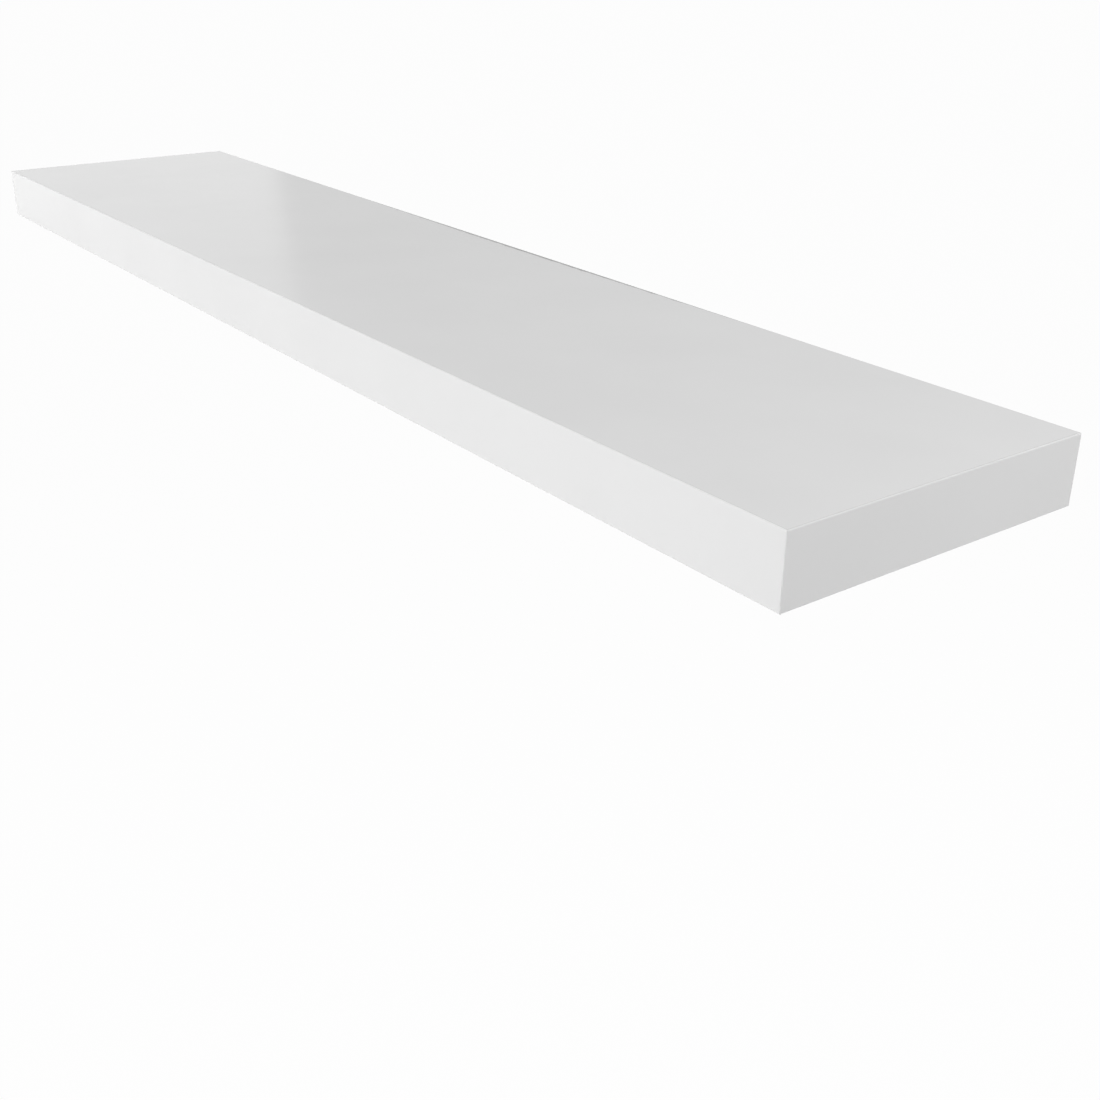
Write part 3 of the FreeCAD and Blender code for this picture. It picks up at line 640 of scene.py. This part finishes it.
def close_slits(piece):
    """Merges the points that booleans leave next to each other, so that the solid is closed."""
    select_only(piece)
    bpy.ops.object.mode_set(mode="EDIT")
    bpy.ops.mesh.select_all(action="SELECT")
    bpy.ops.mesh.remove_doubles(threshold=SLIT)
    bpy.ops.mesh.dissolve_degenerate(threshold=SLIT)
    bpy.ops.object.mode_set(mode="OBJECT")


def put_in_place(piece, name, at, turn=None):
    """Closes a part, shrinks it from millimetres to metres and puts it in place in its mesh."""
    close_slits(piece)
    piece.data.transform(Matrix.Translation(at) @ (turn or Matrix()) @ Matrix.Scale(MM, 4))
    piece.name = piece.data.name = name


def hand_over(piece, material, body, slot, *stands_for):
    """Gives a finished piece its material and its body, and hides the CAD nodes it stands for; the slot
    is not used.
    """
    piece.data.materials.clear()
    piece.data.materials.append(material)
    select_only(piece)
    bpy.ops.object.shade_smooth_by_angle(angle=SMOOTH_BELOW)
    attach(piece, body)
    if stands_for:
        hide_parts(*stands_for)
    print(f"{piece.name}: {len(piece.data.polygons)} faces")


print(f"Slits up to {SLIT} mm close, edges up to {math.degrees(SMOOTH_BELOW):.0f} degrees shade smooth")

# %% [markdown]
# ## Wall plate with eased edges
#
# Rolled strip has no knife edges: mill and plating leave them about 0.3 mm round, and that thin
# round catches a line of light, which tells the eye that the strip is thick steel. The CAD plate
# has the right holes, slots and countersinks, so a copy of it is the best start. Its loose
# triangles are merged, flat areas are dissolved to single faces, and then every sharp edge is
# selected by its angle and bevelled. Smooth shading would let the narrow bevels bend the light on
# the wide flats, so a Weighted Normal modifier gives the wide faces the say.

# %% Wall plate
PLATE_EASE = 0.3  # mm
SHARP = math.radians(40)  # an edge that turns by more is eased

select_only(nodes["wall_plate"])
bpy.ops.object.duplicate()
plate = bpy.context.object
bpy.ops.object.mode_set(mode="EDIT")
bpy.ops.mesh.select_all(action="SELECT")
bpy.ops.mesh.remove_doubles(threshold=SLIT * MM)
bpy.ops.mesh.dissolve_limited(angle_limit=math.radians(1))
bpy.ops.mesh.select_all(action="DESELECT")
bpy.ops.mesh.select_mode(type="EDGE")
bpy.ops.mesh.edges_select_sharp(sharpness=SHARP)
bpy.ops.mesh.bevel(offset=PLATE_EASE * MM, segments=2, affect="EDGES", clamp_overlap=True)
bpy.ops.object.mode_set(mode="OBJECT")
plate.name = plate.data.name = "wall_plate_eased"
hand_over(plate, zinc_strip, "wall_bracket", "zinc_plated_steel", "wall_plate")
apply_modifier(plate, "WEIGHTED_NORMAL", mode="FACE_AREA", weight=100, keep_sharp=True)

# %% [markdown]
# ## The scales of a weld
#
# Each rod is welded to the plate all round. The welder moves the arc a little, lets the pool
# freeze and moves on, so the bead is a row of overlapping scales, like coins pushed over. Each
# scale is modelled as a flattened ball that leans in the direction of travel, and they go round
# the rod. A voxel remesh then melts them into one skin, just as the metal did.

# %% The scales of a weld
SCALES = 27
SCALE_LEAN = math.radians(24)
SCALE_REACH, SCALE_THICKNESS = 1.85, 1.35  # mm, half of each
RUN_OUT = 0.75  # mm from the corner between rod and plate to the middle of a scale
SKIN = 0.16  # mm, the cells of the remesh

deposit = None
for number in range(SCALES):
    angle = math.tau * number / SCALES
    # Three waves that never fall together make the hand uneven: in speed, in width and in depth.
    hurry = 0.06 * math.sin(3 * angle) + 0.03 * math.sin(11 * angle)
    wobble = 1 + 0.06 * math.sin(5 * angle + 1)
    bpy.ops.mesh.primitive_uv_sphere_add(segments=20, ring_count=12, radius=1)
    scale = bpy.context.object
    size = (SCALE_REACH * wobble, SCALE_THICKNESS, SCALE_REACH / wobble)
    to_corner = Vector((ROD_RADIUS + RUN_OUT, 0, RUN_OUT))
    placed = (Matrix.Rotation(angle + hurry, 4, "Z") @ Matrix.Translation(to_corner)
              @ Matrix.Rotation(SCALE_LEAN, 4, "Z") @ Matrix.Rotation(math.radians(45), 4, "Y"))
    scale.data.transform(placed @ Matrix.Diagonal((*size, 1)))
    if deposit:
        scale.select_set(True)
        deposit.select_set(True)
        bpy.context.view_layer.objects.active = deposit
        bpy.ops.object.join()
    deposit = bpy.context.object
    bpy.ops.object.select_all(action="DESELECT")
select_only(deposit)
deposit.data.remesh_voxel_size = SKIN
bpy.ops.object.voxel_remesh()
apply_modifier(deposit, "SMOOTH", factor=0.5, iterations=2)
print(f"{SCALES} scales, one every {math.tau * (ROD_RADIUS + RUN_OUT) / SCALES:.2f} mm")

# %% [markdown]
# ## Weld beads
#
# The melted ring still swells into the rod and through the plate's face. Two booleans trim it: one
# takes the rod's place away, the other keeps what lies in front of the plate and within the leg of
# the weld. Each rod gets a copy, turned a little further than the last, so that no two show the
# same side.

# %% Weld beads
BEAD_LEG = 3.0  # mm
BEAD_TURN = 1.3  # radians from one bead to the next
ROUND = 96  # sides of a round tool
SPARE = 0.2  # mm that a tool reaches past what it shapes

bpy.ops.mesh.primitive_cylinder_add(vertices=ROUND, radius=ROD_RADIUS, depth=20)
combine(deposit, added(), "DIFFERENCE")
bpy.ops.mesh.primitive_cylinder_add(
    vertices=ROUND, radius=ROD_RADIUS + BEAD_LEG, depth=BEAD_LEG + SPARE,
    location=(0, 0, (BEAD_LEG + SPARE) / 2))
combine(deposit, added(), "INTERSECT")

for number, rod_x in enumerate(ROD_XS):
    bead = deposit.copy()
    bead.data = deposit.data.copy()
    bpy.context.scene.collection.objects.link(bead)
    turn = Matrix.Rotation(math.radians(90), 4, "X") @ Matrix.Rotation(number * BEAD_TURN, 4, "Z")
    put_in_place(bead, f"weld_bead_{number + 1}", Vector((rod_x, PLATE_FRONT, 0)), turn)
    hand_over(bead, weld_metal, "wall_bracket", "weld_steel", "rod_welds")
bpy.data.objects.remove(deposit)

# %% [markdown]
# ## Threads
#
# A thread is a ridge of triangular section wound round a core, rising by one pitch each turn. The
# Screw modifier does exactly that: it turns a triangle round the Z axis while it lifts it. The
# ridge is longer than it has to be. A bevelled cylinder then keeps only what a real screw keeps,
# so the thread runs out into the chamfer at each end as a die leaves it.

# %% Threads
SINK = 0.1  # mm that a ridge reaches into its core
THREAD_STEPS = 32  # points round one turn


def thread_ridge(root_radius, crest_radius, pitch, bottom, top):
    """A closed ridge wound round Z from bottom to top, with its crest outwards."""
    reach = crest_radius - root_radius + SINK
    # A triangle's corners lie two thirds of its height from its middle, and its sides one third.
    bpy.ops.mesh.primitive_circle_add(
        vertices=3, radius=reach * 2 / 3, fill_type="NOTHING",
        location=(root_radius - SINK + reach / 3, 0, bottom),
        rotation=(math.radians(90), math.radians(90), 0))
    ridge = added()
    turns = math.ceil((top - bottom) / pitch)
    apply_modifier(ridge, "SCREW", angle=math.tau, screw_offset=pitch, iterations=turns,
                   steps=THREAD_STEPS, render_steps=THREAD_STEPS, use_smooth_shade=False)
    bpy.ops.object.mode_set(mode="EDIT")
    bpy.ops.mesh.select_all(action="SELECT")
    bpy.ops.mesh.remove_doubles(threshold=SLIT)
    bpy.ops.mesh.fill_holes(sides=3)
    bpy.ops.mesh.select_all(action="SELECT")
    bpy.ops.mesh.normals_make_consistent(inside=False)
    bpy.ops.object.mode_set(mode="OBJECT")
    return ridge


def cylinder(radius, bottom, top, vertices=64):
    """A plain round bar along Z, as a start or a tool."""
    bpy.ops.mesh.primitive_cylinder_add(vertices=vertices, radius=radius, depth=top - bottom,
                                        location=(0, 0, (bottom + top) / 2))
    return added()


print(f"{THREAD_STEPS} points to a turn, and the ridge reaches {SINK} mm into its core")

# %% [markdown]
# ## Locking screws
#
# Each locking screw is an M6 headless screw, 16 mm long, with a 3 mm hexagon socket in its lower
# end and a chamfered tip that stops just under the rod. It hangs in the brass insert and is only
# seen from below. Core and ridge are joined, a bevelled envelope gives the ends, and a six-sided
# cylinder cuts the socket.

# %% Locking screws
THREAD_RADIUS = 3.0  # mm, of an M6 thread
THREAD_PITCH = 1.0  # mm
THREAD_DEPTH = 0.6  # mm
SOCKET_FLATS = 3.0  # mm
SOCKET_DEPTH = 4.0  # mm
END_CHAMFER = 0.8  # mm
APART = 0.01  # mm between two surfaces that would coincide, which a boolean handles badly
OVERRUN = 1.0  # mm that a thread or a tool starts outside the piece

for side in ("left", "right"):
    low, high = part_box(f"lock_screw_{side}")
    length = (high.z - low.z) / MM
    screw = cylinder(THREAD_RADIUS - THREAD_DEPTH, -APART, length + APART)
    ridge = thread_ridge(THREAD_RADIUS - THREAD_DEPTH, THREAD_RADIUS, THREAD_PITCH, -OVERRUN,
                         length)
    combine(screw, ridge, "UNION")
    envelope = cylinder(THREAD_RADIUS - APART, 0, length)
    apply_modifier(envelope, "BEVEL", width=END_CHAMFER, segments=1, limit_method="ANGLE")
    combine(screw, envelope, "INTERSECT")
    socket = cylinder(SOCKET_FLATS / math.sqrt(3), -OVERRUN, SOCKET_DEPTH, vertices=6)
    combine(screw, socket, "DIFFERENCE")
    middle = (low + high) / 2
    put_in_place(screw, f"locking_screw_{side}", Vector((middle.x, middle.y, low.z)))
    hand_over(screw, black_steel, f"lock_screw_{side}", "black_oxide_steel", f"lock_screw_{side}")

# %% [markdown]
# ## Threaded inserts
#
# A screw needs metal to bite in, so a brass insert is wound into the wood flush with the
# underside. Its outside has a coarse, sharp thread for the wood, its bore the M6 thread, and its
# lower face two notches for the tool that drives it. It starts as a cylinder with the coarse ridge
# and a flange joined on, and the rest is taken away: bore, inner thread, notches.

# %% Threaded inserts
INSERT_RADIUS = 5.0  # mm
WOOD_THREAD_PITCH = 2.5  # mm
WOOD_THREAD_DEPTH = 0.8  # mm
FLANGE = 1.4  # mm
CORE_START = 0.4  # mm, anywhere inside the flange
BORE_RADIUS, BORE_THREAD_DEPTH = 3.05, 0.35  # mm
NOTCH_WIDTH, NOTCH_DEPTH = 1.3, 1.2  # mm
INSERT_EASE = 0.25  # mm

insert_length = (INSERT_BOX[1].z - INSERT_BOX[0].z) / MM
core_radius = INSERT_RADIUS - WOOD_THREAD_DEPTH
for side, sign in (("left", -1), ("right", 1)):
    insert = cylinder(core_radius, CORE_START, insert_length)
    ridge = thread_ridge(core_radius, INSERT_RADIUS - 2 * APART, WOOD_THREAD_PITCH, -SPARE,
                         insert_length - WOOD_THREAD_PITCH)
    combine(insert, ridge, "UNION")
    combine(insert, cylinder(INSERT_RADIUS, 0, FLANGE), "UNION")
    envelope = cylinder(INSERT_RADIUS, 0, insert_length)
    apply_modifier(envelope, "BEVEL", width=INSERT_EASE, segments=2, limit_method="ANGLE")
    combine(insert, envelope, "INTERSECT")
    combine(insert, cylinder(BORE_RADIUS, -OVERRUN, insert_length + OVERRUN), "DIFFERENCE")
    groove = thread_ridge(BORE_RADIUS, BORE_RADIUS + BORE_THREAD_DEPTH, THREAD_PITCH, -OVERRUN,
                          insert_length)
    combine(insert, groove, "DIFFERENCE")
    # One bar across the lower face cuts both notches.
    bpy.ops.mesh.primitive_cube_add(size=1, location=(0, 0, 0), scale=(
        4 * INSERT_RADIUS, NOTCH_WIDTH, 2 * NOTCH_DEPTH))
    combine(insert, added(), "DIFFERENCE")
    put_in_place(insert, f"brass_insert_{side}",
                 Vector((sign * INSERT_X, INSERT_Y, INSERT_BOX[0].z)))
    hand_over(insert, brass, "shelf_board", "insert_brass", "lock_inserts")

# %% [markdown]
# ## Finishes of the carried-over pieces
#
# Every other piece keeps the shape that it has in the model and only gets its finish, which goes
# by a word in its name.

# %% Finishes of the carried-over pieces
FINISHES = {
    "skin": white_foil, "edge_band": white_abs, "rail": particleboard, "rib": particleboard,
    "honeycomb": kraft, "support_rod": zinc_rod,
}
for name, piece in nodes.items():
    for word, finish in FINISHES.items():
        if word in name:
            piece.data.materials.clear()
            piece.data.materials.append(finish)
            print(f"{name}: {finish.name}")

# %% [markdown]
# ## Floor
#
# The shelf hangs at 1.4 m, so the floor lies that far below it and only takes a very soft shadow.
# A white surround is made without more light on the shelf: the Light Path node tells which rays
# come from the camera, or from a glossy or clear surface, and those see nearly full white. All
# other rays, the ones that light the shelf, meet plain floor paint.

# %% Floor
HANGING_HEIGHT = 1.4  # m
FLOOR_SIZE = 80  # m
TROWEL_MARK = 600  # mm
SHADOW_SHARE = 0.03  # how much of the floor's own shading shows through the white


def seen_directly(tree):
    """1 for rays of the camera, of reflections and of clear surfaces."""
    rays = add_node(tree, "LightPath")
    either = add_node(tree, "Math", {0: rays["Is Camera Ray"], 1: rays["Is Glossy Ray"]},
                      operation="MAXIMUM")["Value"]
    return add_node(tree, "Math", {0: either, 1: rays["Is Transmission Ray"]},
                    operation="MAXIMUM")["Value"]


bpy.ops.object.select_all(action="DESELECT")
bpy.ops.mesh.primitive_plane_add(size=FLOOR_SIZE, location=(0, 0, -HANGING_HEIGHT))
floor = bpy.context.object
floor.name = "floor"
floor_paint, tree, place = start_material("pale_floor_paint")
troweled = add_node(tree, "TexNoise", {"Vector": place, "Scale": per_metre(TROWEL_MARK)})["Fac"]
colour = add_node(tree, "ValToRGB", {"Fac": troweled}, [(0.3, "#F1F1F1"), (0.7, "#F4F4F4")])["Color"]
roughness = add_node(tree, "MapRange", {"Value": troweled, "To Min": 0.85, "To Max": 0.95})["Result"]
end_material(tree, colour, roughness, troweled, relief=0.05)
white = add_node(tree, "Emission", {"Color": linear("#FFFFFF"), "Strength": 1.0})["Emission"]
share = add_node(tree, "Math", {0: seen_directly(tree), 1: 1 - SHADOW_SHARE},
                 operation="MULTIPLY")["Value"]
painted = tree.nodes["Principled BSDF"].outputs["BSDF"]
both = add_node(tree, "MixShader", {"Fac": share, 1: painted, 2: white})["Shader"]
tree.links.new(both, tree.nodes["Material Output"].inputs["Surface"])
floor.data.materials.append(floor_paint)
print(f"Floor {HANGING_HEIGHT} m below the shelf, {FLOOR_SIZE} m wide")

# %% [markdown]
# ## The room's light
#
# The room is a plain white world, and works like the floor: the camera, reflections and clear
# surfaces see it at full strength. For all other rays it is a dim fill light, which leaves the
# shading of the faces to the lamps.

# %% The room's light
ROOM_LIGHT = 0.25  # strength of the fill light

world = bpy.data.worlds.new("white_studio")
bpy.context.scene.world = world
world.use_nodes = True
tree = world.node_tree
background = tree.nodes["Background"]
background.inputs["Color"].default_value = linear("#FFFFFF")
strength = add_node(tree, "Mix", {"Factor": seen_directly(tree), "A": ROOM_LIGHT, "B": 1.0})["Result"]
tree.links.new(strength, background.inputs["Strength"])
print(f"Room light {ROOM_LIGHT}")

# %% [markdown]
# ## Studio light
#
# Five soft panels light the board. The window panel stands to the left, and its far edge is what
# the top face reflects as a soft change of tone. Two panels in front make the front face the
# brightest: the low one is the strongest, and the high one, further right, also reaches the top.
# A small panel lifts the right end, and one low behind keeps the steel and the sawn wood at the
# back out of the dark. Large panels give soft shading, and their power is low enough that no white
# clips. The low front panel isn't mirrored, because a glossy white mirrors so much at a shallow
# angle that the whole top would turn blank when it is seen from behind.

# %% Studio light


def panel(name, at, towards, width, height, power, mirrored=True):
    """A soft rectangular light that faces a point; places and sizes in metres, power in watts."""
    bpy.ops.object.light_add(type="AREA", location=at)
    lamp = bpy.context.object
    lamp.name = name
    lamp.rotation_euler = (Vector(towards) - Vector(at)).to_track_quat("-Z", "Y").to_euler()
    lamp.data.shape = "RECTANGLE"
    lamp.data.size = width
    lamp.data.size_y = height
    lamp.data.energy = power
    lamp.visible_camera = False
    lamp.visible_glossy = mirrored
    print(f"{name}: {power} W over {width * height:.1f} m2")


panel("window_panel", at=(-2.6, -0.62, 0.6), towards=(-0.2, -0.62, 0.2),
      width=3.4, height=2.2, power=6.6)
panel("low_front_panel", at=(-0.6, -2.6, 0.3), towards=(-0.1, 0, 0),
      width=3.0, height=1.4, power=34, mirrored=False)
panel("high_front_panel", at=(0.9, -2.0, 1.35), towards=(0.3, -0.1, 0),
      width=1.8, height=1.3, power=14)
panel("right_panel", at=(1.6, 0.1, 1.0), towards=(0.5, -0.1, 0),
      width=1.0, height=1.0, power=9.6)
panel("back_panel", at=(0.9, 2.4, 0.3), towards=(0.2, 0, 0),
      width=2.6, height=1.4, power=20)

# %% [markdown]
# ## Camera
#
# A camera is set by where it stands, where it looks and its lens. It stands half a metre in front
# of the board and almost as far past its right end, 30 cm above its top. It looks down by 25
# degrees and leans by less than a degree, as a hand-held camera does. Its lens is a little under
# 50 mm, and standing this close gives a strong but natural taper.

# %% Camera
EYE = Vector((1.0507, -0.7425, 0.3160))  # m
HEADING, DOWN, LEAN = 52.78, 24.88, 0.84  # degrees
LENS = 46.59  # mm

bpy.ops.object.camera_add(location=EYE)
camera = bpy.context.object
camera.data.lens = LENS
look = (Matrix.Rotation(math.radians(HEADING), 4, "Z")
        @ Matrix.Rotation(math.radians(90 - DOWN), 4, "X")
        @ Matrix.Rotation(math.radians(LEAN), 4, "Z"))
camera.rotation_euler = look.to_euler()
bpy.context.scene.camera = camera
bpy.context.scene.view_settings.view_transform = "Standard"
print(f"Camera at {EYE[:]} m, {LENS} mm lens")
